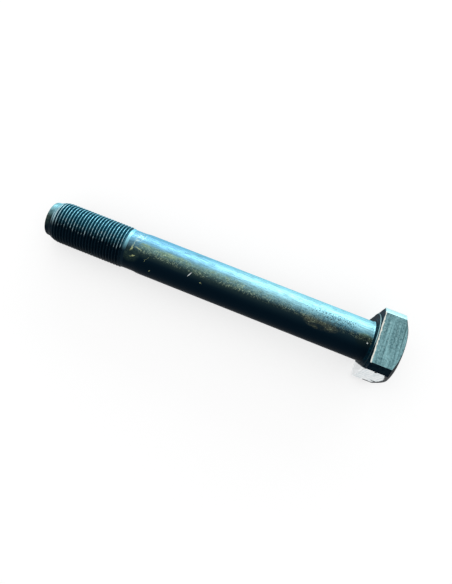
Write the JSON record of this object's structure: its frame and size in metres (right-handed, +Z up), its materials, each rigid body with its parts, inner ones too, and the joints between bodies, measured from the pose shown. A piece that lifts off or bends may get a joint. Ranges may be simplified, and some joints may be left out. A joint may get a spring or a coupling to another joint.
{
  "type": "square head bolt",
  "caption": "Square head bolt: turned corner lands, long plain shank, thinner neck, fine rolled thread and a short smooth point, lying on one flat of its head.",
  "frame": {"origin": "centre of the bearing face under the head, on the bolt's axis", "axes": "+Z up, with the bolt lying at rest on one flat of its head and the thread's first full crests; the head at +X, the threaded end towards -X and dipping 1.78 degrees; +Y completes the right-handed frame"},
  "size_m": [0.1745, 0.0296, 0.0298],
  "materials": {
    "black_steel": "blackened steel with scuffs, light rust and dirt; lighter machined flats on the head"
  },
  "bodies": {
    "root": {"square_head_bolt": "black_steel"}
  },
  "joints": []
}
